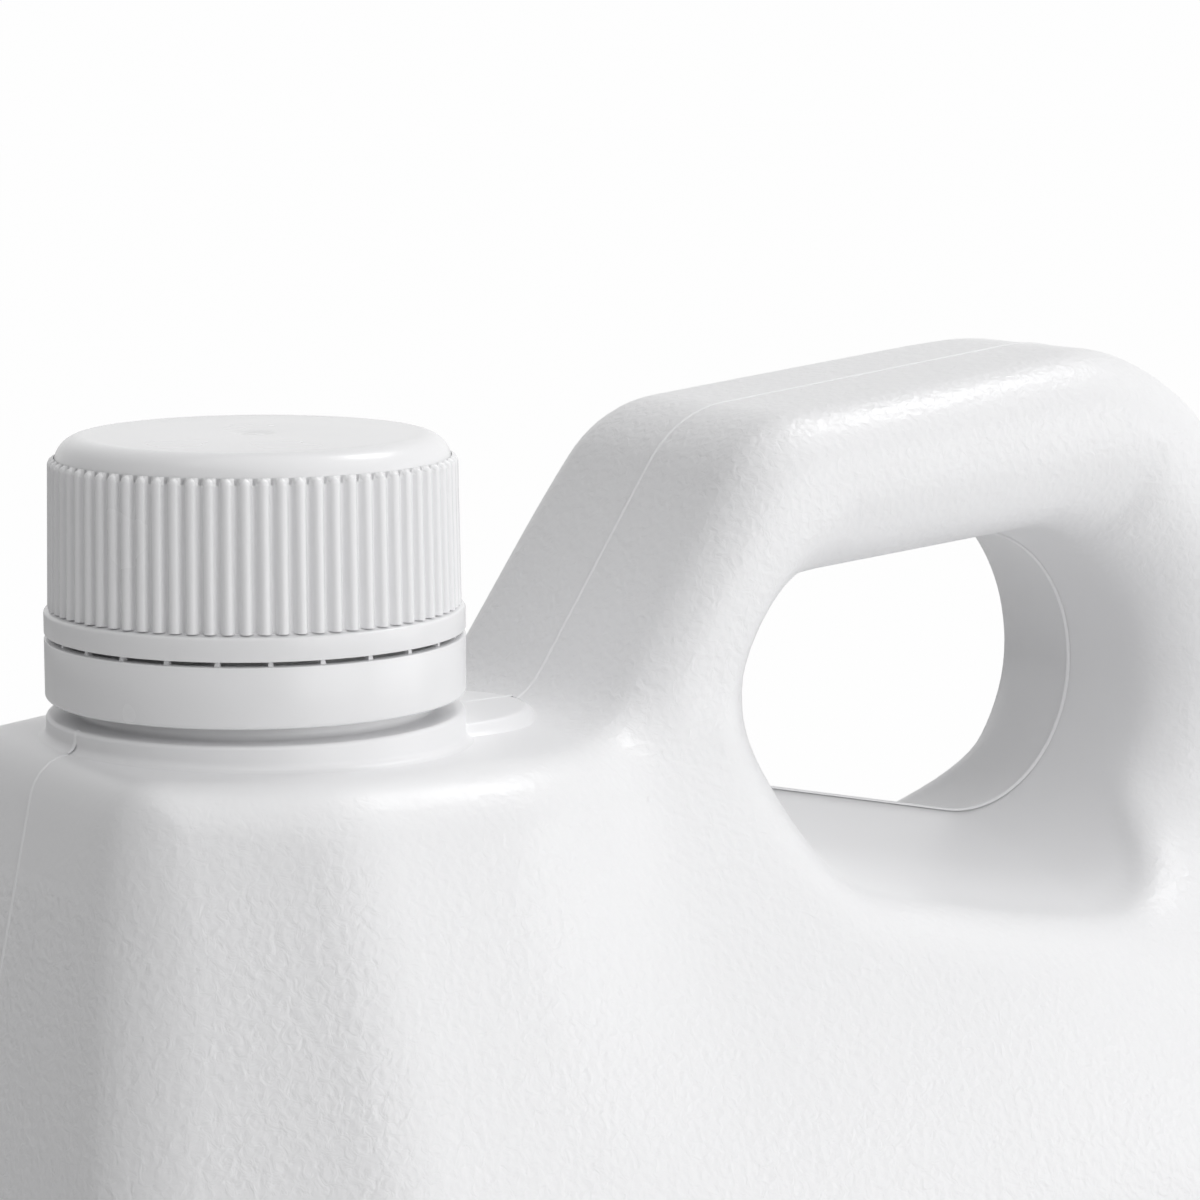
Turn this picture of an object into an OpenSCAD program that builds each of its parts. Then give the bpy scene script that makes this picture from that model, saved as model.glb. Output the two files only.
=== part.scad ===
// Disinfectant jug: blow moulded body with a moulded-in handle, ribbed screw
// cap with a tamper band left on the neck, and a foam cap liner.
// Millimetres, +Z up, base on Z = 0, mould parting plane at Y = 0, front at -Y.

/* [Body] */
// Width of the body from end to end
body_width = 188.5; // [150:0.5:240]
// Height of the shoulder above the base, beside the neck
shoulder_height = 211.4; // [150:0.1:280]
// Half depth of the lower body, seam to front face
body_half_depth = 50.4; // [35:0.1:70]
// Height of the upright walls, where the slope of the shoulders begins
wall_height = 153; // [90:1:200]
// Slope of the front face, millimetres of depth a millimetre of height
front_slope = 0.37; // [0.2:0.01:0.6]
// Plan angle of the corner chamfers from the front face
chamfer_angle = 30.6; // [20:0.1:45]
// Width of a corner chamfer along the front face at the bottom
chamfer_run = 26.5; // [15:0.5:35]
// Radius of the edge round the end faces, shoulder and handle
edge_radius = 6; // [4:0.5:9]
// Thickness of the blown wall
wall = 2; // [1.6:0.1:3]
// Radius of the base corners seen from the front
base_corner = 14; // [9:1:25]
// Depth of the push-up recess in the base
push_up = 2.5; // [1:0.5:6]

/* [Handle] */
// Half depth of the handle
handle_half_depth = 18; // [14:0.5:24]
// Height of the handle's top above the shoulder
handle_rise = 33.8; // [26:0.1:50]
// Fall of the handle's top towards the neck, in degrees
handle_tilt = 5.4; // [0:0.1:12]
// Radius of the handle's rear curve
rear_radius = 35; // [25:1:45]
// Length of the finger hole on the seam
hole_length = 60.9; // [45:0.5:75]
// Distance from the neck axis to the finger hole
hole_from_neck = 53.1; // [48:0.5:65]
// Height of the grip bar over the hole at its neck end
bar_height = 19.3; // [15:0.1:28]
// Depth of the hole's lowest corner below the shoulder
hole_drop = 24.8; // [12:0.1:45]
// Fall of the hole's floor towards the rear, in degrees
hole_floor_tilt = 12.5; // [0:0.1:20]
// Fall of the shoulder from the left end to the foot of the handle
shoulder_fall = 1.7; // [0:0.1:4]

/* [Neck] */
// Outer diameter of the neck under the thread
neck_diameter = 35.6; // [30:0.1:40]
// Bore of the neck
neck_bore = 31.6; // [26:0.1:36]
// Distance from the left end of the body to the neck axis
neck_from_end = 38.5; // [34:0.5:60]
// Diameter of the collar ring under the band
collar_diameter = 42.4; // [38:0.1:50]
// Height of the collar ring
collar_height = 2.0; // [1:0.1:4]
// Gap between the collar ring and the band
collar_gap = 1.6; // [0.8:0.1:3]
// Length of the collar's tongue from the neck axis
tongue_tip = 32; // [28:0.1:40]
// Step from the collar's top down to the tongue's top
tongue_step = 2.2; // [0.4:0.1:2.6]

/* [Cap] */
// Outer diameter of the tamper band
band_diameter = 42.5; // [36:0.1:46]
// Height of the tamper band
band_height = 6.1; // [4:0.1:8]
// Height of the slit between band and cap
slit = 0.5; // [0.3:0.05:0.8]
// Height of the cap above the slit
cap_height = 19.9; // [15:0.1:26]
// Height of the plain lip at the cap's foot
lip_height = 2.6; // [1:0.1:4]
// Number of grip ribs
ribs = 72; // [36:1:100]
// Number of break bridges in the slit
bridges = 25; // [12:1:36]
// Radius of the cap's top edge
cap_edge = 3; // [1.5:0.1:4]
// Thickness of the cap's top
cap_top = 1.6; // [1.2:0.1:2.5]
// Thickness of the foam liner
liner_thickness = 1.5; // [0.8:0.1:2]

/* [Hidden] */
$fn = 64;

// Places, from the neck axis along X and from the base along Z
neck_x = neck_from_end - body_width / 2;
hx = neck_x + hole_from_neck;
z_sh = shoulder_height;
collar_top = z_sh + collar_height;
band_z = collar_top + collar_gap;
slit_z = band_z + band_height;
cap_z = slit_z + slit;
cap_end = cap_z + cap_height;
liner_z = cap_end - cap_top - liner_thickness;
rim_z = liner_z;
band_r = band_diameter / 2;

// Cap and band sections
rib_r_top = band_r - 0.68;
rib_r_foot = band_r - 0.4;
rib_root_r = rib_r_top - 0.62;
cap_bore_r = neck_diameter / 2 + 1.25;
rib_foot_z = cap_z + lip_height;
rib_end_z = cap_end - 2.3;
bead_r = neck_diameter / 2 + 1.85;
bead_z = band_z + 3.4;
catch_r = neck_diameter / 2 + 1.05;

// Slopes of the body's three shoulder planes on each end
cn = [sin(chamfer_angle), cos(chamfer_angle)];
end_slope = 0.25;
chamfer_slope = 0.3525;
flare_top = z_sh - 4.4;
flare_drop = flare_top - wall_height;
front_top = body_half_depth - front_slope * flare_drop;
chamfer_low = cn[0] * (body_width / 2 - chamfer_run) + cn[1] * body_half_depth;
end_top_x = -body_width / 2 + end_slope * flare_drop;

// Outline of the parting line: x, z, corner radius, points in the corner,
// points along the edge that follows, clockwise seen from the front
half = body_width / 2;
strut_run = 0.691;
strut_foot = [neck_x + 33, z_sh - shoulder_fall];
rear_x = half - 6.5;
tilt = tan(handle_tilt);
rear_top = [rear_x, z_sh + handle_rise + rear_radius * (tilt + 1 / cos(handle_tilt) - 1)];
strut_top_z = (rear_top[1] - tilt * (rear_x - strut_foot[0] + strut_run * strut_foot[1])) / (1 - strut_run * tilt);
strut_top = [strut_foot[0] + strut_run * (strut_top_z - strut_foot[1]), strut_top_z];
crease = half - chamfer_run;
outline = [
    [-half, 0, base_corner, 4, 6],
    [-half, wall_height, 60, 3, 7],
    [end_top_x - 0.6, z_sh, 4.5, 3, 12],
    [strut_foot[0], strut_foot[1], 9, 4, 4],
    [strut_top[0], strut_top[1], 14, 6, 6],
    [rear_top[0], rear_top[1], rear_radius, 12, 5],
    [half, wall_height, 60, 3, 6],
    [half, 0, base_corner, 4, 12]];
// Loops on the front face that guide the mesh along the chamfer edges: the
// same corners and points as the outline, one either side of the edge
function guide(side, top, foot) = [
    [-crease + side, foot, 8, 4, 6],
    [-crease + side, wall_height, 60, 3, 7],
    [-crease + side, z_sh - top, 5, 3, 12],
    [strut_foot[0] + 7, z_sh - top + 1, 12, 4, 4],
    [strut_top[0] + 5, strut_top[1] - 9, 8, 6, 6],
    [crease - side, rear_top[1] - 9, 12, 12, 5],
    [crease - side, wall_height, 60, 3, 6],
    [crease - side, foot, 8, 4, 12]];
// First point of each corner, then the outline's points where the panel under
// the handle starts (left and right), and the panel's rows and columns. Its last
// row lies on the base edge, from one base corner to the other
starts = [0, 10, 20, 35, 43, 55, 72, 81];
left_at = starts[1] + 2;
right_at = starts[6] + 1;
rows = left_at - 1;
panel_cols = 14;

// Finger hole on the parting plane, the same way round, and the point of it
// that each corner of the outline looks towards
hole_r = hx + hole_length;
hole_top = strut_top_z - bar_height;
hole_foot = z_sh - hole_drop;
hole_foot_left = hole_foot + hole_length * tan(hole_floor_tilt);
hole = [
    [hx, hole_foot_left, 10.5, 9, 2],
    [hx, hole_top, 9.5, 8, 26],
    [hole_r, hole_top + 0.65 * tilt * hole_length, 17, 14, 3],
    [hole_r, hole_foot, 16, 16, 20]];
aims = [
    [0, hx + 7, hole_foot_left - 1.6], [9.5, hx + 4.4, hole_foot_left + 0.4], [22, hx + 1.7, hole_foot_left + 2.4],
    [27, hx, (hole_top + hole_foot_left) / 2 + 1], [34, hx + 3, hole_top - 2],
    [43, hole_r - 13, hole_top + 3.1], [55, hole_r, hole_top - 16.4], [61, hole_r - 4, hole_foot + 4.8]];

// Depth of the wall slope and lip round the hole: draft, lip width, lip depth
draft_side = 8;
draft_below = 15.5;
lip_w = [9, 12];
lip_d = [9, 11];
lip_low = 5;

function unit(v) = v / norm(v);
function left_of(v) = [-v[1], v[0]];
function lerp(a, b, t) = a + (b - a) * t;
function softmin(a, b, k) = let (h = max(k - abs(a - b), 0) / k) min(a, b) - h * h * k / 4;
function ease(a, b, v) = let (t = min(1, max(0, (v - a) / (b - a)))) t * t * (3 - 2 * t);

// Rounded polygon: each corner an arc, each edge cut into equal steps
function corner_arc(p, i) = let (n = len(p), q = p[i], a = p[(i + n - 1) % n], b = p[(i + 1) % n],
    u = unit([a[0] - q[0], a[1] - q[1]]), v = unit([b[0] - q[0], b[1] - q[1]]),
    half_a = acos(max(-1, min(1, u * v))) / 2, straight = half_a > 89.9, d = straight ? 12 : q[2] / tan(half_a),
    c = straight ? [q[0], q[1]] : [q[0], q[1]] + unit(u + v) * q[2] / sin(half_a),
    s = [q[0], q[1]] + u * d - c, e = [q[0], q[1]] + v * d - c, span = 180 - 2 * half_a,
    way = sign(s[0] * e[1] - s[1] * e[0]))
    [for (k = [0:q[3]]) let (t = way * span * k / q[3]) straight ? c + lerp(s, e, k / q[3]) :
        c + [s[0] * cos(t) - s[1] * sin(t), s[0] * sin(t) + s[1] * cos(t)]];
function rounded(p) = let (n = len(p), arcs = [for (i = [0:n - 1]) corner_arc(p, i)])
    [for (i = [0:n - 1]) each concat(arcs[i], let (a = arcs[i][len(arcs[i]) - 1], b = arcs[(i + 1) % n][0])
        [for (k = [1:p[i][4] - 1]) lerp(a, b, k / p[i][4])])];

seam = rounded(outline);
guide_out = rounded(guide(-4.1, edge_radius + shoulder_fall + 2, 14));
guide_in = rounded(guide(4.1, edge_radius + shoulder_fall + 5.5, 22));
rim = rounded(hole);
n_seam = len(seam);
n_rim = len(rim);
function nearest(q, k = 1, best = 0) = k >= n_rim ? best
    : nearest(q, k + 1, norm(rim[k] - q) < norm(rim[best] - q) ? k : best);
// Place on the hole's rim, counted in its points, of each spoke that runs to it
n_up = right_at - left_at + 1;
n_spokes = n_up + panel_cols - 1;
aim_raw = [for (q = aims) nearest([q[1], q[2]])];
aim_at = concat([for (i = [0:len(aims) - 1]) aim_raw[i] - (aim_raw[i] > aim_raw[1] && i == 0 ? n_rim : 0)],
    [aim_raw[0] + (aim_raw[0] > aim_raw[1] ? 0 : n_rim)]);
aim_from = concat([for (q = aims) q[0]], [n_spokes]);
function span_of(k, i = 0) = i + 2 < len(aim_from) && k >= aim_from[i + 1] ? span_of(k, i + 1) : i;
function rim_index(k) = let (i = span_of(k)) lerp(aim_at[i], aim_at[i + 1], (k - aim_from[i]) / (aim_from[i + 1] - aim_from[i]));
function rim_point(u) = let (k = floor(u), w = (k % n_rim + n_rim) % n_rim) lerp(rim[w], rim[(w + 1) % n_rim], u - k);

// Normals: into the body from the outline, and away from the hole at the rim
function normal_at(p, j) = let (n = len(p), a = p[(j + n - 1) % n], q = p[j], b = p[(j + 1) % n],
    u = unit(q - a), v = unit(b - q)) unit(left_of(u) + left_of(v));
seam_in = [for (j = [0:n_seam - 1]) -normal_at(seam, j)];
aim = [for (k = [0:n_spokes - 1]) rim_point(rim_index(k))];
rim_out = [for (k = [0:n_spokes - 1]) let (u = rim_index(k)) unit(left_of(unit(rim_point(u + 0.6) - rim_point(u - 0.6))))];

// Depth of the front face over the parting plane at x, z
function front_plane(z) = softmin(front_top + front_slope * (flare_top - z), body_half_depth, 4.4);
function chamfer_plane(x, z) = let (d = softmin(chamfer_low - chamfer_slope * (z - wall_height), chamfer_low, 7)
        + (x > 0 ? 7 * ease(wall_height, z_sh - 10, z) : 0))
    (d - cn[0] * abs(x)) / cn[1];
// Grows from nothing to a straight slope over the width w
function bend(v, w) = let (u = max(0, v)) u < w ? u * u / (2 * w) : u - w / 2;
function handle_face(x, z) = let (low = ease(hx + 12, hole_r + 6, x))
    handle_half_depth + 0.04 * (z_sh + handle_rise - z)
    + (0.62 + 0.2 * low) * norm([bend(strut_foot[0] + 6 - x, 8), bend(z_sh + 3 - 20 * low - z, 8)]);
function face_depth(x, z) = softmin(softmin(front_plane(z), chamfer_plane(x, z), 2.4), handle_face(x, z), 5);

// Share of the hole's lower side at a rim normal, for draft and lip
function lower(n) = let (right = ease(-0.2, 0.5, n[0])) ease(0.1 + 0.4 * right, 0.75 + 0.25 * right, -n[1]);
function upper(n) = ease(0.1, 0.8, n[1]);

// Share of the body below the handle at column j, from 0 on the handle to 1
function on_body(j) = let (a = starts[3] + 1, b = starts[5] + 12)
    j > a && j < b ? 0 : ease(0, 5, j <= a ? a - j : j - b);
function on_face(p, t, d) = [p[0], face_depth(p[0], p[1]) - t - d, p[1]];

// Least distance from a point of the hole's rim to the outline
function room(q) = min([for (o = seam) norm(o - q)]);

// Where spoke k leaves the lip for the front face
function lip_at(k, t) = let (q = aim[k], m = rim_out[k], low = lower(m),
    lw = min(lerp(lerp(lip_w[0], lip_w[1], upper(m)), lip_low, low), room(q) - edge_radius - 3.5), dr = tan(lerp(draft_side, draft_below, low)),
    ld = lerp(lerp(lip_d[0], lip_d[1], upper(m)), lip_low, low) + t, rough = q + m * (lw + 12 * dr),
    y_lip = face_depth(rough[0], rough[1]) - t - ld, e_lip = t + y_lip * dr)
    [q + m * (e_lip + lw), lw, dr, y_lip, e_lip, low];

// Edge radius at a point of the outline, smaller at the tight end corner
function edge_at(o) = edge_radius - (edge_radius - 4) * max(0, 1 - norm(o - [end_top_x, z_sh]) / 14);

// One column of the outer skin, from the parting line to the guide loops
function edge_column(j, t) = let (
    o = seam[j], n = seam_in[j], er = edge_at(o), r = er - t, o_t = o + n * t, a = o + n * er, w = on_body(j),
    l = w < 1 ? lip_at(j - left_at, t)[0] : a,
    c1 = lerp(lerp(a, l, 0.3), guide_out[j], w), c2 = lerp(lerp(a, l, 0.6), guide_in[j], w))
    concat([[o_t[0], 0, o_t[1]], on_face(o_t, t, r)],
        [for (f = [30, 60, 90]) on_face(o_t + n * r * (1 - cos(f)), t, r * (1 - sin(f)))],
        [on_face(c1, t, 0), on_face(c2, t, 0)]);

// One spoke from its start on the front face, over the lip, to the hole's seam
function spoke(k, p, t) = let (
    q = aim[k], m = rim_out[k], s = lip_at(k, t), l = s[0], lw = s[1], dr = s[2], y_lip = s[3], e_lip = s[4],
    y_l = face_depth(l[0], l[1]) - t)
    concat([for (f = [0.4, 0.75, 1]) on_face(lerp(p, l, f), t, 0)],
        [for (f = [64, 40, 18]) let (g = q + m * (e_lip + lw * (1 - cos(f)))) [g[0], lerp(y_lip, y_l, sin(f)), g[1]]],
        [let (g = q + m * (t + y_lip * dr * 0.5)) [g[0], y_lip * 0.5, g[1]], [(q + m * t)[0], 0, (q + m * t)[1]]]);

// Closed skin: front half, and its mirror image behind the parting plane
module skin(t, edge_rings, spoke_rings) {
    edges = [for (j = [0:n_seam - 1]) let (c = edge_column(j, t)) [for (k = edge_rings) c[k]]];
    last = len(edge_rings) - 1;
    // Rows of the panel under the handle, the first of them where the spokes start
    panel = [for (i = [0:rows - 1]) let (a = edges[left_at - i][last], b = edges[right_at + i][last])
        [for (k = [1:panel_cols - 1]) on_face(lerp([b[0], b[2]], [a[0], a[2]], k / panel_cols), t, 0)]];
    spokes = [for (k = [0:n_spokes - 1])
        let (p = k < n_up ? edges[left_at + k][last] : panel[0][k - n_up], c = spoke(k, [p[0], p[2]], t))
        [for (i = spoke_rings) c[i]]];
    end = len(spoke_rings) - 1;
    half_points = concat([for (r = [0:last]) for (c = edges) c[r]], [for (row = panel) each row],
        [for (r = [0:end]) for (c = spokes) c[r]]);
    n_half = len(half_points);
    panel_0 = (last + 1) * n_seam;
    spoke_0 = panel_0 + rows * (panel_cols - 1);
    e = function (r, j) r * n_seam + (j + n_seam) % n_seam;
    g = function (i, k) k == 0 ? e(last, right_at + i) : k == panel_cols ? e(last, left_at - i)
        : i == rows ? e(last, right_at + i + k) : panel_0 + i * (panel_cols - 1) + k - 1;
    w = function (r, k) let (m = (k + n_spokes) % n_spokes) r >= 0 ? spoke_0 + r * n_spokes + m
        : m < n_up ? e(last, left_at + m) : panel_0 + m - n_up;
    quad = function (a, b, c, d) [[a, b, c], [a, c, d]];
    front = concat(
        [for (r = [0:last - 1]) for (j = [0:n_seam - 1]) each quad(e(r, j), e(r + 1, j), e(r + 1, j + 1), e(r, j + 1))],
        [for (r = [-1:end - 1]) for (k = [0:n_spokes - 1]) each quad(w(r, k), w(r + 1, k), w(r + 1, k + 1), w(r, k + 1))],
        [for (i = [0:rows - 1]) for (k = [0:panel_cols - 1]) each quad(g(i + 1, k), g(i, k), g(i, k + 1), g(i + 1, k + 1))]);
    on_seam = function (i) i < n_seam || i >= spoke_0 + end * n_spokes;
    polyhedron(concat([for (p = half_points) [p[0], -p[1], p[2]]], half_points),
        concat([for (f = front) [for (i = [len(f) - 1:-1:0]) f[i]]],
            [for (f = front) [for (i = f) on_seam(i) ? i : n_half + i]]));
}

module at_neck() { translate([neck_x, 0, 0]) children(); }

// Collar tongue that runs from the ring to the foot of the handle
module tongue() {
    at_neck() translate([0, 0, z_sh - 3]) linear_extrude(3 + collar_height - tongue_step)
        polygon(concat([[12, -11]], [[21, -10.6]],
            [for (k = [-2:2]) [tongue_tip - 4 + 4 * cos(k * 32), 7.4 * sin(k * 32) / sin(64)]],
            [[21, 10.6], [12, 11]]));
}

module neck_solid() {
    at_neck() rotate_extrude($fn = 72) polygon([
        [0, z_sh - 3], [collar_diameter / 2, z_sh - 3], [collar_diameter / 2, collar_top - 0.4],
        [collar_diameter / 2 - 0.4, collar_top], [neck_diameter / 2, collar_top],
        [neck_diameter / 2, bead_z], [bead_r, bead_z], [bead_r, bead_z + 0.6],
        [neck_diameter / 2, bead_z + 2.2], [neck_diameter / 2, rim_z - 0.5],
        [neck_diameter / 2 - 0.5, rim_z], [0, rim_z]]);
}

// Push-up in the base: the recess below, or the floor that it lifts inside
module base_panel(height, spread) {
    translate([0, 0, -1]) linear_extrude(1 + height) offset(r = 12 + spread) square(
        [body_width - 74, 2 * body_half_depth - 56], center = true);
}

// Blown shell with its neck, made as one mesh so that the free form stays whole
module shell() {
    difference() {
        union() {
            skin(0, [0, 1, 2, 3, 4, 5, 6], [0, 1, 2, 3, 4, 5, 6, 7]);
            neck_solid();
            tongue();
        }
        difference() {
            skin(wall, [0, 1, 3, 4, 5, 6], [0, 2, 4, 7]);
            base_panel(wall + push_up, wall);
        }
        at_neck() translate([0, 0, z_sh - 13]) cylinder(d = neck_bore, h = rim_z - z_sh + 14);
        base_panel(push_up, 0);
    }
}

module jug_body() {
    color("white") resize([body_width, 2 * body_half_depth, 0]) shell();
}

module rib_plan() {
    step = 360 / ribs;
    polygon([for (i = [0:ribs - 1]) each [for (k = [[-0.34, 0], [-0.2, 0.72], [0, 1], [0.2, 0.72], [0.34, 0]])
        let (r = rib_root_r + k[1] * (band_r + 0.3 - rib_root_r), t = (i + k[0]) * step) [r * cos(t), r * sin(t)]]]);
}

module screw_cap() {
    rt = cap_end - cap_edge;
    color("white") at_neck() difference() {
        union() {
            rotate_extrude() polygon(concat([[0, cap_z], [band_r, cap_z], [band_r, rib_foot_z - 0.4],
                [band_r - 0.4, rib_foot_z], [rib_root_r, rib_foot_z], [rib_root_r, rt]],
                [for (a = [18:18:90]) [rib_root_r - cap_edge + cap_edge * cos(a), rt + cap_edge * sin(a)]],
                [[0, cap_end]]));
            intersection() {
                translate([0, 0, rib_foot_z - 0.3]) linear_extrude(rib_end_z - rib_foot_z + 0.9) rib_plan();
                rotate_extrude() polygon([[rib_root_r - 1, rib_foot_z - 1], [rib_r_foot, rib_foot_z - 1],
                    [rib_r_top, rib_end_z - 1], [rib_r_top - 0.25, rib_end_z - 0.2], [rib_root_r - 0.4, rib_end_z + 0.6],
                    [rib_root_r - 1, rib_end_z + 0.6]]);
            }
        }
        translate([0, 0, cap_z - 1]) cylinder(r = cap_bore_r, h = cap_height - cap_top + 1);
    }
}

module tamper_band() {
    color("white") {
        at_neck() rotate_extrude() polygon([
            [catch_r, band_z + 0.3], [catch_r + 0.3, band_z], [band_r - 0.5, band_z], [band_r, band_z + 0.5],
            [band_r, slit_z], [band_r - 1.2, slit_z], [band_r - 1.2, bead_z], [catch_r, bead_z]]);
        at_neck() for (i = [0:bridges - 1]) rotate([0, 0, i * 360 / bridges + 11])
            translate([band_r - 1.1, -0.45, slit_z - 0.2]) cube([0.8, 0.9, slit + 0.2]);
    }
}

module cap_liner() {
    color("gainsboro") at_neck() translate([0, 0, liner_z]) cylinder(r = cap_bore_r - 0.3, h = liner_thickness);
}

jug_body();
screw_cap();
tamper_band();
cap_liner();
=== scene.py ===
# %% [markdown]
# The subject is a three litre disinfectant jug: a blow moulded body with its handle moulded in, a ribbed
# screw cap, the tamper band that the cap leaves behind on the neck, and a foam liner inside the cap.
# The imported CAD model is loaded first. It is the frame: every finished piece below is made in its space and
# rides on one of its bodies, so that the looks and the motion agree.

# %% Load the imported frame
import math
import bmesh
import bpy
import numpy as np
from mathutils.geometry import delaunay_2d_cdt
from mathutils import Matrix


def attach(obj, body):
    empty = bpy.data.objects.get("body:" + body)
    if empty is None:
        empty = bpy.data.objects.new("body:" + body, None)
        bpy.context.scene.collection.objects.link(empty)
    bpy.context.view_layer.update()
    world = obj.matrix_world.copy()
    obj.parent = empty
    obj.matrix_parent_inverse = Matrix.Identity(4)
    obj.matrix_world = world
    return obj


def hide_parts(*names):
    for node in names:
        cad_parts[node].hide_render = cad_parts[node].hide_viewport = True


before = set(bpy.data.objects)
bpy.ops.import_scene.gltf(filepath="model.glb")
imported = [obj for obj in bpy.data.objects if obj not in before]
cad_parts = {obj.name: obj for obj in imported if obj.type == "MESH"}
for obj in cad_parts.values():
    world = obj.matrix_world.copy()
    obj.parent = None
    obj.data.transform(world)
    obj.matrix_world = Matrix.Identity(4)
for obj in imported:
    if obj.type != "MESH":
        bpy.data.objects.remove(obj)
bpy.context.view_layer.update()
MM = 0.001

# %% [markdown]
# The jug has few true straight lines, but it isn't free sculpture either: a mould maker draws the parting line,
# and says how deep each face stands in front of it. The same is done here. All sizes are in millimetres and
# become metres when a mesh is made.

# %% Sizes of the body, the handle and the neck
body_half, shoulder, half_depth, wall_height = 94.25, 211.4, 50.4, 153.0
front_slope, end_slope, chamfer_run, chamfer_slope = 0.37, 0.25, 26.5, 0.3525
chamfer = np.array([math.sin(math.radians(30.6)), math.cos(math.radians(30.6))])
edge_radius, wall, push_up = 6.0, 2.0, 2.5
handle_half_depth, handle_rise, tilt, rear_radius = 18.0, 33.8, math.tan(math.radians(5.4)), 35.0
neck_x, neck_r, bore_r, collar_r = -55.75, 17.8, 15.8, 21.2
shoulder_fall, collar_top, tongue_top = 1.7, shoulder + 2.0, shoulder - 0.2
band_z, slit_z, cap_z, cap_end, rim_z = 215.0, 221.1, 221.6, 241.5, 238.4
foot, strut_lean = np.array([neck_x + 33, shoulder - shoulder_fall]), 0.691
rear_peak, rear_heel, rear_x = (58.7, 245.9, 24), (90.2, 212.2, 40), body_half - 6.5
rear_z = shoulder + handle_rise + rear_radius * (tilt + math.hypot(1, tilt) - 1)
strut_z = (rear_z - tilt * (rear_x - foot[0] + strut_lean * foot[1])) / (1 - strut_lean * tilt)
flare_top = shoulder - 4.4
front_top = half_depth - front_slope * (flare_top - wall_height)
end_top_x = -body_half + end_slope * (flare_top - wall_height)
hole_l, hole_r = neck_x + 53.1, neck_x + 114.0
hole_top, hole_foot, hole_tall = strut_z - 19.3, shoulder - 24.8, 60.9
print("handle strut meets the grip bar at z", round(strut_z, 2))
print("finger hole", round(hole_r - hole_l, 1), "mm long")

# %% [markdown]
# Both the parting line and the finger hole are polygons with rounded corners. One helper draws them: it puts
# an arc into each corner and cuts arcs and straights into steps of about the same length, which later keeps
# the mesh even. A second helper gives the direction across such a loop at each of its points. The handle's
# rear corner is cut back at about 45 degrees, as the picture shows it at its right edge.

# %% Rounded outlines
def rounded(corners, step):
    arcs = []
    for i, (x, z, r) in enumerate(corners):
        q = np.array([x, z])
        u, v = (np.array(corners[k % len(corners)][:2]) - q for k in (i - 1, i + 1))
        u, v = u / np.linalg.norm(u), v / np.linalg.norm(v)
        half = math.acos(u @ v) / 2
        c = q + (u + v) / np.linalg.norm(u + v) * r / math.sin(half)
        s, e, span = q + u * r / math.tan(half) - c, q + v * r / math.tan(half) - c, math.pi - 2 * half
        k = max(5, math.ceil(r * span / step))
        t = np.sign(s[0] * e[1] - s[1] * e[0]) * span * np.arange(k + 1) / k
        arcs.append(c + np.stack([s[0] * np.cos(t) - s[1] * np.sin(t), s[0] * np.sin(t) + s[1] * np.cos(t)], 1))
    out = []
    for i, arc in enumerate(arcs):
        a, b = arc[-1], arcs[(i + 1) % len(arcs)][0]
        k = max(1, math.ceil(np.linalg.norm(b - a) / step))
        out += [arc, a + (b - a) * (np.arange(1, k) / k)[:, None]]
    return np.concatenate(out)


def across(loop, side):
    d = np.roll(loop, -1, 0) - np.roll(loop, 1, 0)
    d /= np.linalg.norm(d, axis=1)[:, None]
    return side * np.stack([d[:, 1], -d[:, 0]], 1)


seam_corners = [
    (-body_half, 0, 14), (-body_half, wall_height, 60), (end_top_x - 0.6, shoulder, 4.5), (foot[0], foot[1], 9),
    (foot[0] + strut_lean * (strut_z - foot[1]), strut_z, 14), rear_peak, rear_heel,
    (body_half, wall_height, 60), (body_half, 0, 14)]
hole_corners = [
    (hole_l, hole_foot + hole_tall * math.tan(math.radians(12.5)), 10.5), (hole_l, hole_top, 9.5),
    (hole_r, hole_top + 0.65 * tilt * hole_tall, 17), (hole_r, hole_foot, 16)]
print("parting line", len(rounded(seam_corners, 1.5)), "points, finger hole", len(rounded(hole_corners, 1.2)))

# %% [markdown]
# The front face is the smooth minimum of three simple faces: the sloping front, the corner chamfer, and the
# side of the handle with the flare that leads down from it. A smooth minimum rounds the crease between two
# faces by itself, as the mould's cutter does, so no edge has to be bevelled later.

# %% Depth of the front face
def softmin(a, b, k):
    h = np.maximum(k - np.abs(a - b), 0) / k
    return np.minimum(a, b) - h * h * k / 4


def ease(a, b, v):
    t = np.clip((v - a) / (b - a), 0, 1)
    return t * t * (3 - 2 * t)


def bend(v, w):
    v = np.maximum(v, 0)
    return np.where(v < w, v * v / (2 * w), v - w / 2)


def face_depth(x, z):
    front = softmin(front_top + front_slope * (flare_top - z), half_depth + 0 * z, 4.4)
    low = chamfer[0] * (body_half - chamfer_run) + chamfer[1] * half_depth
    corner = softmin(low - chamfer_slope * (z - wall_height), low + 0 * z, 7)
    corner = corner + np.where(x > 0, 7 * ease(wall_height, shoulder - 10, z), 0)
    corner = (corner - chamfer[0] * np.abs(x)) / chamfer[1]
    rear = ease(hole_l + 12, hole_r + 6, x)
    grip = handle_half_depth + 0.04 * (shoulder + handle_rise - z) + (0.62 + 0.2 * rear) * np.hypot(
        bend(foot[0] + 6 - x, 8), bend(shoulder + 3 - 20 * rear - z, 8))
    return softmin(softmin(front, corner, 2.4), grip, 5)


print("depth at the front's middle", round(float(face_depth(0.0, 100.0)), 1))
print("depth at the grip", round(float(face_depth(20.0, 240.0)), 1))

# %% [markdown]
# The shell's front half has three zones. Rows run from the parting line round the edge to the face. Rows run
# from the face over the lip and down the drafted wall of the finger hole to the parting line again. The face
# between the two loops is filled with triangles by Delaunay's method, over a lattice that is finer where the
# face bends. That fill takes any outline, which a plain grid wouldn't. The back half is the mirror image.

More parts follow.
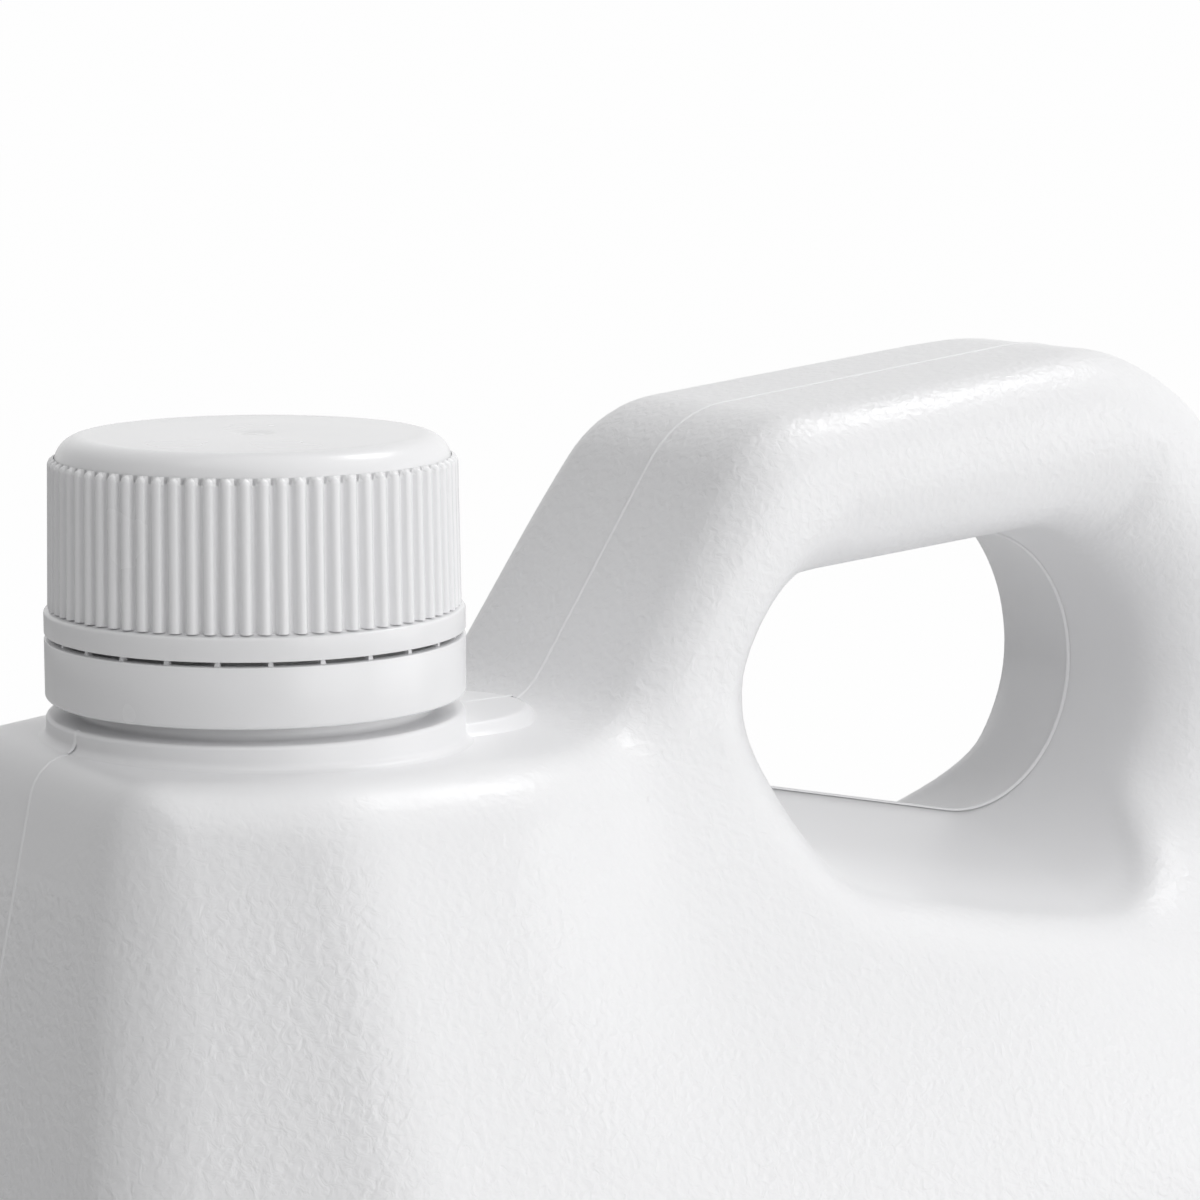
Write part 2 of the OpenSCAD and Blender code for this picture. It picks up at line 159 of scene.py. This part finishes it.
# %% Zones of the shell
def rim_radius(p):
    near_end = np.clip(1 - np.hypot(p[:, 0] - end_top_x, p[:, 1] - shoulder) / 14, 0, 1)
    return edge_radius - 2 * near_end + 3.5 * ease(40, 62, p[:, 0]) * ease(190, 222, p[:, 1])


def edge_rows(t, step, wall_rows, arc_rows):
    o = rounded(seam_corners, step)
    n = across(o, 1)
    er = rim_radius(o)
    w0 = t + 0.12 * ease(0.6, 0.2, n[:, 1])
    start = o + n * w0[:, None]
    y_edge = face_depth(*start.T) - t - (er - t)
    rows = [(start, y_edge * s) for s in np.linspace(0, 1, wall_rows)]
    for f in np.radians(np.linspace(0, 90, arc_rows + 1)[1:]):
        p = o + n * (w0 + (er - w0) * (1 - math.cos(f)))[:, None]
        rows.append((p, face_depth(*p.T) - t - (er - t) * (1 - math.sin(f))))
    return rows


def lip_rows(t, step, arc_rows, wall_rows):
    q, o = rounded(hole_corners, step), rounded(seam_corners, step)
    m = across(q, -1)
    up, right = ease(0.1, 0.8, m[:, 1]), ease(-0.2, 0.5, m[:, 0])
    low = ease(0.3 + 0.3 * right, 1.02, -m[:, 1])
    gaps = np.array([np.hypot(*(o - p).T) for p in q])
    room, rim = gaps.min(1), rim_radius(o)[gaps.argmin(1)]
    lw = softmin((9 + 3 * up + 5.5 * right) * (1 - low) + 7 * low, room - rim - 3, 4)
    ld = (9 + 2 * up + 2 * right) * (1 - low) + 6 * low + t
    dr = np.tan(np.radians(8 + 7.5 * low))
    y = np.full(len(q), 12.0)
    for _ in range(6):
        y = face_depth(*(q + m * (t + y * dr)[:, None]).T) - t - ld
    rows = []
    for f in np.radians(np.linspace(90, 0, arc_rows + 1)):
        p = q + m * (t + y * dr + lw * (1 - math.cos(f)))[:, None]
        rows.append((p, face_depth(*p.T) - t - ld * (1 - math.sin(f))))
    return rows + [(q + m * (t + y * s * dr)[:, None], y * s) for s in np.linspace(1, 0, wall_rows)[1:]]


def within(loop, p):
    a, b = loop, np.roll(loop, -1, 0)
    x, z = p[:, :1], p[:, 1:]
    cut = (b[:, 0] - a[:, 0]) * (z - a[:, 1]) / (b[:, 1] - a[:, 1] + 1e-12) + a[:, 0]
    return (((a[:, 1] > z) != (b[:, 1] > z)) & (x < cut)).sum(1) % 2 == 1


def face_fill(outer, inner, fine, coarse):
    x, z = np.meshgrid(np.arange(-95, 95, fine), np.arange(0, 250, fine * 0.866))
    x = x + fine / 2 * (np.arange(len(z)) % 2)[:, None]
    sparse = (np.arange(x.shape[0]) % coarse == 0)[:, None] & (np.arange(x.shape[1]) % coarse == 0)[None]
    curve = sum(np.abs(face_depth(x + a, z + b) + face_depth(x - a, z - b) - 2 * face_depth(x, z))
                for a, b in ((1.2, 0), (0, 1.2), (0.8, 0.8), (0.8, -0.8)))
    p = np.stack([x, z], -1)[sparse | (curve > 0.025)]
    p = p[within(outer, p) & ~within(inner, p)]
    loops = np.concatenate([outer, inner])
    far = np.concatenate([np.sqrt(((c[:, None] - loops) ** 2).sum(-1)).min(1) for c in np.array_split(p, 20)])
    points = np.concatenate([loops, p[far > fine * 0.7]])
    n, k = len(outer), len(inner)
    edges = [(i, (i + 1) % n) for i in range(n)] + [(n + i, n + (i + 1) % k) for i in range(k)]
    xz, _, faces, source, _, _ = delaunay_2d_cdt([tuple(v) for v in points], edges, [], 0, 1e-6)
    xz, faces = np.array([tuple(v) for v in xz]), np.array(faces)
    centre, (u, v) = xz[faces].mean(1), (xz[faces[:, k]] - xz[faces[:, 0]] for k in (1, 2))
    # Slivers along a straight stretch of the loop lie outside it, though their centres don't show that
    wide = np.abs(u[:, 0] * v[:, 1] - u[:, 1] * v[:, 0]) > 0.01
    return xz, faces[wide & within(outer, centre) & ~within(inner, centre)], source


rims = rim_radius(np.array([[0, shoulder], [80, 225]]))
print("edge radius at the shoulder and at the rear of the handle:", np.round(rims, 1), "mm")

# %% [markdown]
# A blown wall has two skins. Both are made by one function: the outer one finely, and the inner one coarsely
# and the wall's thickness further in. Rows become four-sided faces, the fill becomes triangles, and the half
# is mirrored and joined to itself along the parting line.

# %% Put the zones together
def shell_mesh(t, step, wall_rows, arc_rows, fine, coarse):
    edge, lip = edge_rows(t, step, wall_rows, arc_rows), lip_rows(t, step * 0.8, arc_rows, 9)
    n, k = len(edge[0][0]), len(lip[0][0])
    rows = edge + lip
    first = np.cumsum([0] + [len(p) for p, _ in rows])
    verts = [np.stack([p[:, 0], -y, p[:, 1]], 1) for p, y in rows]
    faces = []
    for r in range(len(rows) - 1):
        if r != len(edge) - 1:
            c, a, b = (n if r < len(edge) else k), first[r], first[r + 1]
            faces += [(a + i, a + (i + 1) % c, b + (i + 1) % c, b + i) for i in range(c)]
    xz, fill, source = face_fill(edge[-1][0], lip[0][0], fine, coarse)
    place = [first[len(edge) - 1] + s[0] if s and s[0] < n + k else first[-1] + i for i, s in enumerate(source)]
    verts.append(np.stack([xz[:, 0], t - face_depth(*xz.T), xz[:, 1]], 1))
    faces += [tuple(place[i] for i in f) for f in fill]
    verts = np.concatenate(verts)
    # The grain stops short of the parting line inside the hole
    lip_grain = [np.full(len(p), ease(0.25, 0.95, 1 - i / (len(lip) - 1))) for i, (p, _) in enumerate(lip)]
    grain = np.concatenate([np.ones(first[len(edge)])] + lip_grain + [np.ones(len(xz))])
    bm = bmesh.new()
    layer = bm.verts.layers.float.new("grain")
    for sign in (1, -1):
        made = [bm.verts.new((x, y * sign, z)) for x, y, z in verts]
        for v, g in zip(made, grain):
            v[layer] = g
        for f in faces:
            bm.faces.new([made[i] for i in (f if sign > 0 else f[::-1])])
    bmesh.ops.delete(bm, geom=[v for v in bm.verts if not v.link_faces], context="VERTS")
    seam = [v for v in bm.verts if abs(v.co.y) < 1e-4]
    bmesh.ops.remove_doubles(bm, verts=seam, dist=1e-4)
    bmesh.ops.recalc_face_normals(bm, faces=bm.faces[:])
    return bm, layer


skin, grain_layer = shell_mesh(0, 1.5, 16, 9, 1.15, 3)
lining, _ = shell_mesh(wall, 4.0, 9, 4, 3.0, 3)
bmesh.ops.reverse_faces(lining, faces=lining.faces[:])
print("outer skin", len(skin.faces), "faces, inner skin", len(lining.faces))

# %% [markdown]
# Two features are pressed into these skins. The base has a shallow push-up, so that the jug stands on a rim
# and not on a bulge. The shoulder is open under the neck. The faces there are deleted, and the neck's own
# ring covers the ragged edge.

# %% Push-up and neck opening
for bm in (skin, lining):
    for v in bm.verts:
        if v.co.z < 2.2 and abs(v.co.x) < 75:
            d = math.hypot(max(0, abs(v.co.x) - 57.25), max(0, abs(v.co.y) - 22.4)) - 12
            v.co.z += push_up * float(ease(1.5, -3, d))
    middles = [(f, f.calc_center_median()) for f in bm.faces]
    opening = [f for f, c in middles if c.z > shoulder - 8 and math.hypot(c.x - neck_x, c.y) < 18.6]
    bmesh.ops.delete(bm, geom=opening, context="FACES")
for v in skin.verts:
    r = math.hypot(v.co.x - neck_x, v.co.y)
    if v.co.z > shoulder - 12:
        v[grain_layer] *= float(ease(24, 36, r))
print("faces deleted for the neck:", len(opening), "in the inner skin")

# %% [markdown]
# A mould in two halves leaves a fine raised line where they meet. It catches the light all round the jug:
# over the shoulder, the collar and its tongue, up the handle and round the finger hole. It is swept as a thin
# bead along a path in the parting plane.

# %% Parting line bead
def bead(bm, path, out, width, height, closed, cut=None):
    section = [(-0.5, -0.12), (-0.36, 0.35), (-0.14, 0.85), (0, 1), (0.14, 0.85), (0.36, 0.35), (0.5, -0.12)]
    rows = [[bm.verts.new((p[0] + d[0] * height * h, w * width, p[1] + d[1] * height * h)) for w, h in section]
            for p, d in zip(path, out)]
    for a, b in zip(rows, rows[1:] + rows[:1] if closed else rows[1:]):
        if cut is None or not cut(a[3].co) and not cut(b[3].co):
            for i in range(len(section) - 1):
                bm.faces.new((a[i], a[i + 1], b[i + 1], b[i]))


parting = bmesh.new()
parting.verts.layers.float.new("grain")
path = rounded(seam_corners, 1.5)
out = -across(path, 1)
bead(parting, path - out * 0.12, out, 0.62, 0.12, True,
     lambda c: c.z < 3 or c.z > shoulder - 4 and abs(c.x - neck_x) < 20)
ring = rounded(hole_corners, 1.2)
bead(parting, ring, across(ring, 1), 0.75, 0.22, True)
print("parting line bead", len(parting.faces), "faces")

# %% [markdown]
# The neck is a turned form: collar ring, transfer bead that holds the tamper band, and the thread's core. It is
# drawn as half a section and spun, which is how the blow pin and the neck inserts are turned as well. Where
# the shoulder falls away to the right, the foot of the collar follows it.

# %% Turned forms
def turned(section, steps, close=False):
    bm = bmesh.new()
    verts = [bm.verts.new((r, 0, z)) for r, z in section]
    edges = [bm.edges.new(pair) for pair in zip(verts, verts[1:])]
    if close:
        edges.append(bm.edges.new((verts[-1], verts[0])))
    bmesh.ops.spin(bm, geom=verts + edges, cent=(0, 0, 0), axis=(0, 0, 1), angle=2 * math.pi, steps=steps,
                   use_merge=True)
    bmesh.ops.remove_doubles(bm, verts=bm.verts[:], dist=1e-4)
    bmesh.ops.recalc_face_normals(bm, faces=bm.faces[:])
    return bm


def moved(bm, x):
    bmesh.ops.translate(bm, verts=bm.verts[:], vec=(x, 0, 0))
    return bm


def arc(cr, cz, r, a0, a1, n):
    return [(cr + r * math.cos(math.radians(a)), cz + r * math.sin(math.radians(a))) for a in np.linspace(a0, a1, n)]


def shoulder_z(x):
    along = (x - end_top_x) / (foot[0] - end_top_x)
    return shoulder - shoulder_fall * min(max(along, 0), 1)


bead_z = band_z + 3.4
neck_section = ([(bore_r, shoulder - 4), (bore_r, rim_z - 0.4)] + arc(bore_r + 0.4, rim_z - 0.4, 0.4, 180, 90, 4)
                + arc(neck_r - 0.5, rim_z - 0.5, 0.5, 90, 0, 5) + [(neck_r, bead_z + 2.3)]
                + [(neck_r + 0.3, bead_z + 1.9), (neck_r + 1.6, bead_z + 0.75)]
                + arc(neck_r + 1.6, bead_z + 0.5, 0.25, 80, -90, 6) + [(neck_r + 0.2, bead_z + 0.2), (neck_r, bead_z)]
                + arc(neck_r + 0.5, collar_top + 0.5, 0.5, 180, 270, 4)
                + arc(collar_r - 0.45, collar_top - 0.45, 0.45, 90, 0, 6) + [(collar_r, shoulder + 0.75)]
                + arc(collar_r + 0.8, shoulder + 0.75, 0.8, 180, 262, 7) + [(collar_r + 1.6, shoulder - 0.6)])
neck = moved(turned(neck_section, 160), neck_x)
for v in neck.verts:
    if math.hypot(v.co.x - neck_x, v.co.y) > collar_r - 0.01 and v.co.z < shoulder + 0.8:
        v.co.z += shoulder_z(v.co.x) - shoulder
print("neck", len(neck.faces), "faces")

# %% [markdown]
# A thread is a ridge that winds round the neck. Its section is swept along a helix, and it is thinned at both
# ends so that it runs out into the neck.

# %% Thread ridges
def thread(r_root, r_crest, z_low, turns, pitch, width, inward=False):
    bm = bmesh.new()
    around, fade, rows = 96, 14, []
    n, sink = int(turns * around), 0.15 if inward else -0.15
    for i in range(n + 1):
        a, s = 2 * math.pi * i / around, float(ease(0, fade, i) * ease(n, n - fade, i))
        crest, z = r_root + (r_crest - r_root) * s, z_low + pitch * i / around
        rows.append([bm.verts.new((r * math.cos(a), r * math.sin(a), z + w * width)) for r, w in (
            (r_root + sink, -0.5), (crest, -0.2), (crest, 0.2), (r_root + sink, 0.5))])
    for a, b in zip(rows, rows[1:]):
        for k in range(3):
            bm.faces.new((a[k], b[k], b[k + 1], a[k + 1]))
    for end in (rows[0], rows[-1]):
        bm.faces.new(end)
    bmesh.ops.recalc_face_normals(bm, faces=bm.faces[:])
    return bm


neck_thread = moved(thread(neck_r, neck_r + 0.95, bead_z + 4.6, 2.6, 4.2, 2.0), neck_x)
print("neck thread", len(neck_thread.faces), "faces")

# %% [markdown]
# The collar has a tongue that points at the handle. Its top lies a step below the ring, its edge is rounded,
# and it meets the shoulder in a small fillet. It is built in rings, from the fillet up over the edge to the top.

# %% Collar tongue
def tongue_width(x):
    return 10.8 * (1 - min(1, max(0, (x - 18) / 14)) ** 2.2) ** 0.5


reach = [14 + 18 * math.sin(math.pi / 2 * i / 22) for i in range(23)]
plan = np.array([(x, -tongue_width(x)) for x in reach] + [(x, tongue_width(x)) for x in reach[-2::-1]])
lead = np.gradient(plan, axis=0)
lead /= np.linalg.norm(lead, axis=1)[:, None]
side = np.stack([lead[:, 1], -lead[:, 0]], 1)
tongue = bmesh.new()
rings = []
for grow, up, h in ((0.95, 0, -0.25), (0.6, 0, 0.04), (0.25, 0, 0.28), (0.06, 0, 0.62),
                    (0, 1, -0.42), (-0.1, 1, -0.16), (-0.34, 1, -0.02), (-0.7, 1, 0)):
    ring_verts = []
    for x, y in plan + side * grow:
        base = shoulder_z(x + neck_x) + max(0, x + neck_x - (foot[0] - 4.7)) ** 2 / 18
        ring_verts.append(tongue.verts.new((x + neck_x, y, tongue_top + h if up else base + h)))
    rings.append(ring_verts)
for a, b in zip(rings, rings[1:]):
    for i in range(len(a) - 1):
        tongue.faces.new((a[i], a[i + 1], b[i + 1], b[i]))
tongue.faces.new(rings[-1])
tongue_path = [(neck_x + x, tongue_top) for x in (20, 24, 28, 31.3, 31.85, 32)]
bead(parting, tongue_path + [(neck_x + 32.05, tongue_top - 0.6)],
     [(0, 1)] * 4 + [(0.5, 0.85), (0.85, 0.5), (1, 0)], 0.62, 0.1, False)
collar_path = [(-0.9, shoulder - 0.1), (-0.3, shoulder + 0.25), (0, shoulder + 0.8), (0, collar_top - 0.45),
               (0.14, collar_top - 0.13), (0.45, collar_top)]
bead(parting, [(neck_x - collar_r + x, z) for x, z in collar_path],
     [(-0.3, 0.95), (-0.8, 0.6), (-1, 0), (-1, 0), (-0.7, 0.7), (0, 1)], 0.62, 0.1, False)
print("tongue", len(tongue.faces), "faces")

# %% [markdown]
# The parts of one moulded piece become one object. Its faces are shaded smooth. The float layer named grain
# goes along as an attribute, so the material can tell textured zones from smooth ones.

# %% Make finished objects
def finished(name, parts, body, stands_for, smooth_angle=None):
    mesh = bpy.data.meshes.new(name)
    whole = bmesh.new()
    whole.verts.layers.float.new("grain")
    for bm in parts:
        piece = bpy.data.meshes.new("part")
        bm.to_mesh(piece)
        whole.from_mesh(piece)
        bpy.data.meshes.remove(piece)
        bm.free()
    bmesh.ops.scale(whole, vec=(MM, MM, MM), verts=whole.verts[:])
    for f in whole.faces:
        f.smooth = True
    if smooth_angle:
        for e in whole.edges:
            if e.is_manifold and e.calc_face_angle() > math.radians(smooth_angle):
                e.smooth = False
    whole.to_mesh(mesh)
    whole.free()
    obj = bpy.data.objects.new(name, mesh)
    bpy.context.scene.collection.objects.link(obj)
    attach(obj, body)
    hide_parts(stands_for)
    print(name, "has", sum(len(p.vertices) - 2 for p in mesh.polygons), "triangles")
    return obj


jug = finished("jug", [skin, lining, parting, neck, neck_thread, tongue], "jug", "jug_body", 50)

# %% [markdown]
# The screw cap is turned first: a domed top with a shallow gate mark and a faint ring, a plain lip at its
# foot, and a bore with a lining thread. The 72 ribs are then raised out of the turned wall by moving its
# points outward. Each rib is a half round bar with a rounded upper end.

# %% Screw cap
ribs, root_r, rib_low, rib_high, band_r = 72, 19.95, cap_z + 2.6, cap_end - 2.35, 21.25


def rib_height(angle, z):
    reach_out = 0.9 - 0.28 * (z - rib_low) / (rib_high - rib_low)
    turn = angle / (2 * math.pi / ribs)
    d = abs(turn - round(turn)) * 2 * math.pi * 20.4 / ribs
    d = math.hypot(d, max(0, z - (rib_high - 0.6)))
    return reach_out * math.sqrt(max(0, 1 - (d / 0.64) ** 2)) ** 0.8


heights = list(np.linspace(rib_low, rib_high - 0.8, 5)) + list(np.linspace(rib_high - 0.66, rib_high + 0.1, 9))
top_dips = ((0.01, 0.14), (0.7, 0.13), (1.0, 0.2), (1.35, 0.2), (2.0, 0.05), (2.5, 0.02), (9, 0), (15.9, 0.01),
            (16.4, 0.06), (16.9, 0.04))
section = ([(r, cap_end - dip) for r, dip in top_dips] + arc(17.05, cap_end - 2.95, 2.9, 86, 0, 12)
           + [(root_r, z) for z in heights[::-1]] + [(root_r + 0.1, rib_low - 0.05), (root_r + 0.45, rib_low - 0.16)]
           + arc(band_r - 0.35, rib_low - 0.55, 0.35, 80, 0, 5) + arc(band_r - 0.15, cap_z + 0.15, 0.15, 0, -90, 4)
           + [(19.15, cap_z), (19.05, cap_z + 0.1), (19.05, cap_end - 2.2)]
           + [(18.6, cap_end - 1.6), (0.01, cap_end - 1.6)])
cap = turned(section, ribs * 14)
for v in cap.verts:
    r = math.hypot(v.co.x, v.co.y)
    if abs(r - root_r) < 0.02 and rib_low - 0.02 < v.co.z < rib_high + 0.2:
        s = (r + rib_height(math.atan2(v.co.y, v.co.x), v.co.z)) / r
        v.co.x, v.co.y = v.co.x * s, v.co.y * s
cap_thread = thread(19.05, 18.82, cap_z + 3.2, 2.4, 4.2, 1.6, inward=True)
screw_cap = finished(
    "screw_cap_shell", [moved(cap, neck_x), moved(cap_thread, neck_x)], "cap", "screw_cap", 50)

# %% [markdown]
# The tamper band hooks under the neck's bead and stays there when the cap is undone. It carries the stumps of
# the thin bridges that joined it to the cap.

# %% Tamper band and its bridges
band = turned([(18.87, band_z + 0.3), (19.1, band_z + 0.04)] + arc(band_r - 0.5, band_z + 0.5, 0.5, -90, 0, 6)
              + arc(band_r - 0.12, slit_z - 0.12, 0.12, 0, 90, 3)
              + [(band_r - 1.2, slit_z), (band_r - 1.2, bead_z), (18.87, bead_z)], 240, close=True)
bridges, bridge_count, bridge_r = bmesh.new(), 25, band_r - 1.0
for i in range(bridge_count):
    made = bmesh.ops.create_cube(bridges, size=1)["verts"]
    bmesh.ops.scale(bridges, vec=(0.72, 0.6, 0.68), verts=made)
    bmesh.ops.translate(bridges, vec=(bridge_r, 0, slit_z + 0.155), verts=made)
    for v in made:
        if v.co.z > slit_z + 0.3:
            v.co.y *= 0.7
            v.co.x += (bridge_r - v.co.x) * 0.3
    a = math.radians(i * 360 / bridge_count + 11)
    for v in made:
        v.co.x, v.co.y = v.co.x * math.cos(a) - v.co.y * math.sin(a), v.co.x * math.sin(a) + v.co.y * math.cos(a)
tamper_band = finished(
    "tamper_band_ring", [moved(band, neck_x), moved(bridges, neck_x)], "jug", "tamper_band", 40)

# %% [markdown]
# Inside the cap lies a wad of closed-cell foam that seals on the neck's rim. It could be a plain disc, but
# foam that has been screwed down keeps a shallow ring where the rim pressed, so the disc is turned and its
# points over the rim are pushed in.

# %% Foam liner
liner_r, liner_z = 18.7, cap_end - 3.1
foam = turned([(0.01, liner_z + 0.02), (liner_r - 0.25, liner_z + 0.02)]
              + arc(liner_r - 0.3, liner_z + 0.3, 0.28, -80, 0, 4)
              + arc(liner_r - 0.3, liner_z + 1.2, 0.28, 0, 90, 4) + [(0.01, liner_z + 1.48)], 128)
for v in foam.verts:
    r = math.hypot(v.co.x, v.co.y)
    if v.co.z < liner_z + 0.1 and 15.8 < r < 17.9:
        v.co.z += 0.1
cap_liner = finished("foam_liner", [moved(foam, neck_x)], "liner", "cap_liner", 50)

# %% [markdown]
# The plastic is white polyethylene. The body was blown in a mould with an etched grain of about a millimetre,
# which leaves it satin, while the collar, the tongue and the walls of the hole stay smooth. The grain is made
# once, as a node group, from a bent noise for the wrinkles and a cell texture for the pits between them.

# %% Node helpers
def add(tree, kind, **values):
    node = tree.nodes.new(kind)
    for key, value in values.items():
        setattr(node, key, value)
    return node


def grain_group():
    tree = bpy.data.node_groups.new("etched_grain", "ShaderNodeTree")
    for name, kind, default in (("Vector", "NodeSocketVector", None), ("Amount", "NodeSocketFloat", 1.0)):
        made = tree.interface.new_socket(name=name, in_out="INPUT", socket_type=kind)
        if default is not None:
            made.default_value = default
    tree.interface.new_socket(name="Height", in_out="OUTPUT", socket_type="NodeSocketFloat")
    start, end = add(tree, "NodeGroupInput"), add(tree, "NodeGroupOutput")
    wrinkle, cell = add(tree, "ShaderNodeTexNoise"), add(tree, "ShaderNodeTexVoronoi")
    cell.feature = "SMOOTH_F1"
    for socket, value in (("Scale", 820.0), ("Detail", 2.5), ("Roughness", 0.55), ("Distortion", 0.9)):
        wrinkle.inputs[socket].default_value = value
    for socket, value in (("Scale", 1000.0), ("Smoothness", 0.35)):
        cell.inputs[socket].default_value = value
    mix, scaled = add(tree, "ShaderNodeMix", data_type="FLOAT"), add(tree, "ShaderNodeMath", operation="MULTIPLY")
    mix.inputs["Factor"].default_value = 0.35
    for a, b in ((start.outputs["Vector"], wrinkle.inputs["Vector"]), (start.outputs["Vector"], cell.inputs["Vector"]),
                 (wrinkle.outputs[0], mix.inputs["A"]), (cell.outputs["Distance"], mix.inputs["B"]),
                 (mix.outputs["Result"], scaled.inputs[0]), (start.outputs["Amount"], scaled.inputs[1]),
                 (scaled.outputs[0], end.inputs["Height"])):
        tree.links.new(a, b)
    return tree


etched_grain = grain_group()
print("grain group has", len(etched_grain.nodes), "nodes")


def plastic(name, color, rough_low, rough_high, cloud, depth, masked):
    mat = bpy.data.materials.new(name)
    mat.use_nodes = True
    tree = mat.node_tree
    shader = tree.nodes["Principled BSDF"]
    shader.inputs["Base Color"].default_value = (*color, 1)
    shader.inputs["IOR"].default_value = 1.5
    place, patches = add(tree, "ShaderNodeTexCoord"), add(tree, "ShaderNodeTexNoise")
    patches.inputs["Scale"].default_value = cloud
    spread = add(tree, "ShaderNodeMapRange")
    for socket, value in (("From Min", 0.2), ("From Max", 0.8), ("To Min", rough_low), ("To Max", rough_high)):
        spread.inputs[socket].default_value = value
    group, bump = add(tree, "ShaderNodeGroup", node_tree=etched_grain), add(tree, "ShaderNodeBump")
    bump.inputs["Strength"].default_value = 1.0
    bump.inputs["Distance"].default_value = depth
    links = [(place.outputs["Object"], patches.inputs["Vector"]), (patches.outputs[0], spread.inputs["Value"]),
             (spread.outputs[0], shader.inputs["Roughness"]), (place.outputs["Object"], group.inputs["Vector"]),
             (group.outputs["Height"], bump.inputs["Height"]), (bump.outputs["Normal"], shader.inputs["Normal"])]
    if masked:
        mask = add(tree, "ShaderNodeAttribute", attribute_name="grain")
        links.append((mask.outputs["Fac"], group.inputs["Amount"]))
    for a, b in links:
        tree.links.new(a, b)
    return mat


# %% [markdown]
# Three plastics share those nodes. The jug is satin with the etched grain, which the attribute masks off where
# the mould was smooth. The cap is a harder, smoother plastic with almost no grain. The foam is dull.

# %% Plastics of the jug, the cap and the foam
jug.data.materials.append(plastic("jug_polyethylene", (0.86, 0.86, 0.87), 0.30, 0.40, 60, 0.00019, True))
cap_plastic = plastic("cap_polypropylene", (0.86, 0.86, 0.87), 0.25, 0.28, 90, 0.000002, False)
for obj in (screw_cap, tamper_band):
    obj.data.materials.append(cap_plastic)
cap_liner.data.materials.append(plastic("liner_foam", (0.80, 0.81, 0.82), 0.6, 0.75, 200, 0.00005, False))
print("materials:", sorted(m.name for m in bpy.data.materials if m.users))

# %% [markdown]
# The stage is a wide pale floor. Seen by the camera it is nearly pure white, as in a catalogue picture, and it
# keeps a trace of the jug's shadow. To the jug itself it is plain white board, which throws light up
# from below.

# %% Floor
bpy.ops.mesh.primitive_plane_add(size=12, location=(0, 0, 0))
floor = bpy.context.object
floor.name = "studio_floor"
board = bpy.data.materials.new("white_board")
board.use_nodes = True
tree = board.node_tree
diffuse = tree.nodes["Principled BSDF"]
diffuse.inputs["Base Color"].default_value = (0.9, 0.9, 0.9, 1)
diffuse.inputs["Roughness"].default_value = 0.9
glow, seen, share, blend = (add(tree, "ShaderNodeEmission"), add(tree, "ShaderNodeLightPath"),
                            add(tree, "ShaderNodeMath", operation="MULTIPLY"), add(tree, "ShaderNodeMixShader"))
share.inputs[1].default_value = 0.985
glow.inputs["Color"].default_value = (1, 1, 1, 1)
for a, b in ((seen.outputs["Is Camera Ray"], share.inputs[0]), (share.outputs[0], blend.inputs[0]),
             (diffuse.outputs[0], blend.inputs[1]), (glow.outputs[0], blend.inputs[2]),
             (blend.outputs[0], tree.nodes["Material Output"].inputs["Surface"])):
    tree.links.new(a, b)
floor.data.materials.append(board)
print("floor", floor.dimensions[0], "m wide")

# %% [markdown]
# The photograph is lit from in front and from the right by soft boxes, from overhead by a wide one, and by
# white surroundings. The left end of the jug falls to a mid grey, and the front is just short of white. The
# surroundings are dim as a light, so that the left end can fall off, but mirror white in the glossy faces.

# %% Light
world = bpy.context.scene.world or bpy.data.worlds.new("studio")
bpy.context.scene.world = world
world.use_nodes = True
tree = world.node_tree
air = tree.nodes["Background"]
air.inputs["Color"].default_value = (1, 1, 1, 1)
air.inputs["Strength"].default_value = 0.28
white = add(tree, "ShaderNodeBackground")
seen, blend = add(tree, "ShaderNodeLightPath"), add(tree, "ShaderNodeMixShader")
white.inputs["Color"].default_value = (0.99, 0.99, 0.99, 1)
either = add(tree, "ShaderNodeMath", operation="MAXIMUM")
for a, b in ((seen.outputs["Is Camera Ray"], either.inputs[0]), (seen.outputs["Is Glossy Ray"], either.inputs[1]),
             (either.outputs[0], blend.inputs[0]), (air.outputs[0], blend.inputs[1]),
             (white.outputs[0], blend.inputs[2]), (blend.outputs[0], tree.nodes["World Output"].inputs["Surface"])):
    tree.links.new(a, b)


def softbox(name, at, aim, size, power):
    data = bpy.data.lights.new(name, "AREA")
    data.shape, data.size, data.energy = "SQUARE", size, power
    obj = bpy.data.objects.new(name, data)
    bpy.context.scene.collection.objects.link(obj)
    obj.location = at
    d = [b - a for a, b in zip(at, aim)]
    flat = math.hypot(d[0], d[1])
    obj.rotation_euler = (math.atan2(flat, -d[2]), 0, math.atan2(d[1], d[0]) - math.pi / 2)
    print(name, "at", at, "power", power)


softbox("top_softbox", (0.1, -0.25, 1.3), (0, 0, 0.2), 1.5, 5.8)
softbox("edge_softbox", (0.68, 0.05, 1.2), (0, 0, 0.2), 0.3, 2.4)
softbox("front_softbox", (0.1, -1.3, 0.5), (0, 0, 0.18), 0.9, 4.8)
softbox("side_softbox", (1.0, -0.9, 0.25), (0, 0, 0.18), 0.9, 4.3)

# %% [markdown]
# The camera stands where the photographer's did: in front and to the left, just above the cap, close in with
# a long lens, so the jug's lower half and rear end are outside the picture.

# %% Camera
lens = bpy.data.cameras.new("photo_camera")
lens.lens, lens.sensor_width, lens.clip_start = 120, 36, 0.01
camera = bpy.data.objects.new("photo_camera", lens)
bpy.context.scene.collection.objects.link(camera)
camera.location = (-0.27135, -0.3382, 0.2858)
camera.rotation_euler = (math.radians(90 - 8.727), 0, math.radians(-37.5))
bpy.context.scene.camera = camera
bpy.context.scene.view_settings.view_transform = "Standard"
print("camera", round(1000 * math.dist(camera.location, (0, 0, 0.2))), "mm from the jug's middle")
